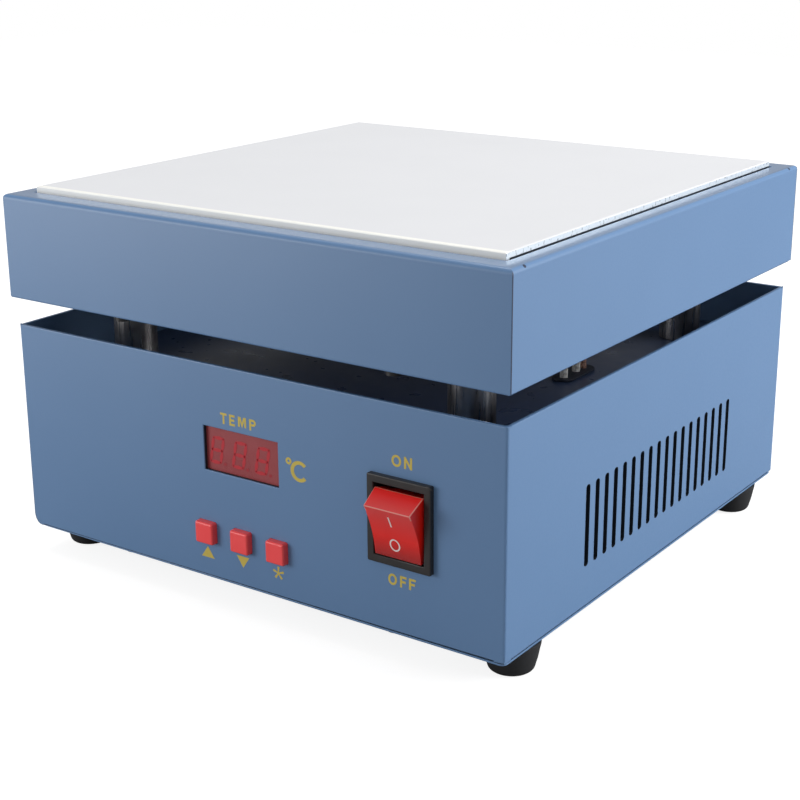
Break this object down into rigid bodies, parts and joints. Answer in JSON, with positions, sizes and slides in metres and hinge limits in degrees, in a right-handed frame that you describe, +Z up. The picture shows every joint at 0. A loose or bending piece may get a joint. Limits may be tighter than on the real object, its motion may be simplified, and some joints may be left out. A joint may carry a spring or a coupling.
{
  "type": "preheating hot plate",
  "caption": "Square electric preheating plate on an open-topped enamelled base with a digital display, push buttons and a rocker power switch.",
  "frame": {"origin": "on the floor under the middle of the object's box, level with the soles of the feet", "axes": "+X to the right along the front panel, +Y from the front panel to the rear, +Z up"},
  "size_m": [0.216, 0.227, 0.142],
  "materials": {
    "blue_enamel": "smooth semi-gloss grey-blue powder coat on folded steel",
    "plate_face": "fine matt light grey working face with bright milled edges",
    "clamp_metal": "plain milled aluminium",
    "zinc_steel": "zinc-plated steel",
    "pillar_steel": "drawn steel tube with faint streaks",
    "deck_enamel": "dark glossy enamel",
    "foot_rubber": "matt black rubber",
    "element_sheath": "oxidised steel sheath",
    "probe_steel": "plain stainless sheath",
    "insulation": "matt ceramic fibre board",
    "steatite": "unglazed white steatite",
    "white_sleeve": "white silicone-coated glass-fibre sleeve",
    "brown_sleeve": "brownish glass-fibre sleeve",
    "black_bush": "black silicone",
    "circuit_board": "green solder mask on glass-fibre laminate",
    "display_red": "dark red filter of a three-digit display",
    "black_plastic": "black moulded plastic",
    "button_red": "red moulded plastic",
    "rocker_red": "translucent red plastic with white marks",
    "tinned_brass": "tinned brass",
    "fuse_glass": "glass body of a 5 x 20 mm fuse",
    "core_steel": "laminated core and wound coil",
    "black_oxide": "blackened steel screws",
    "sink_black": "black anodised extrusion",
    "wire_sleeve": "insulated wire and flat cable"
  },
  "bodies": {
    "base": {"lower_case": "blue_enamel", "bottom_plate": "blue_enamel", "bottom_screws": "zinc_steel", "foot_front_left": "foot_rubber", "foot_front_right": "foot_rubber", "foot_rear_left": "foot_rubber", "foot_rear_right": "foot_rubber", "foot_screws": "zinc_steel", "deck": "deck_enamel", "deck_posts": "zinc_steel", "pillar_front_left": "pillar_steel", "pillar_front_right": "pillar_steel", "pillar_rear_left": "pillar_steel", "pillar_rear_right": "pillar_steel", "tie_rods": "zinc_steel", "tie_nuts": "zinc_steel", "upper_case": "blue_enamel", "head_pan": "zinc_steel", "pan_screws": "black_oxide", "heating_plate": "plate_face", "heating_element": "element_sheath", "element_clamp": "clamp_metal", "clamp_screws": "zinc_steel", "insulation_board": "insulation", "plate_spacers": "steatite", "plate_screws": "zinc_steel", "temperature_probe": "probe_steel", "heater_leads": "white_sleeve", "probe_lead": "brown_sleeve", "head_bush": "white_sleeve", "deck_bush": "black_bush", "control_board": "circuit_board", "board_studs": "zinc_steel", "display_module": "display_red", "tact_switches": "black_plastic", "switch_housing": "black_plastic", "switch_blades": "tinned_brass", "power_inlet": "black_plastic", "inlet_prongs": "tinned_brass", "inlet_screws": "zinc_steel", "power_board": "circuit_board", "power_board_spacers": "zinc_steel", "terminal_strip": "steatite", "transformer": "core_steel", "heat_sink": "sink_black", "triac": "black_plastic", "mains_wires": "wire_sleeve", "earth_wire": "wire_sleeve", "earth_stud": "tinned_brass", "ribbon_cable": "wire_sleeve"},
    "up_button_body": {"up_button": "button_red", "up_plunger": "black_plastic"},
    "down_button_body": {"down_button": "button_red", "down_plunger": "black_plastic"},
    "set_button_body": {"set_button": "button_red", "set_plunger": "black_plastic"},
    "rocker_body": {"rocker": "rocker_red"},
    "fuse_drawer_body": {"fuse_drawer": "black_plastic", "fuse": "fuse_glass"}
  },
  "joints": [
    {"name": "rocker_tilt", "type": "hinge", "parent": "base", "child": "rocker_body", "pos_m": [0.0672, -0.1042, 0.0512], "axis": [-1, 0, 0], "range_deg": [0, 38]},
    {"name": "up_press", "type": "slide", "parent": "base", "child": "up_button_body", "axis": [0, 1, 0], "range_m": [0, 0.0005], "stiffness_N_per_m": 1500, "springref_m": -0.0003},
    {"name": "down_press", "type": "slide", "parent": "base", "child": "down_button_body", "axis": [0, 1, 0], "range_m": [0, 0.0005], "stiffness_N_per_m": 1500, "springref_m": -0.0003},
    {"name": "set_press", "type": "slide", "parent": "base", "child": "set_button_body", "axis": [0, 1, 0], "range_m": [0, 0.0005], "stiffness_N_per_m": 1500, "springref_m": -0.0003},
    {"name": "fuse_drawer_slide", "type": "slide", "parent": "base", "child": "fuse_drawer_body", "axis": [0, 1, 0], "range_m": [0, 0.016]}
  ]
}
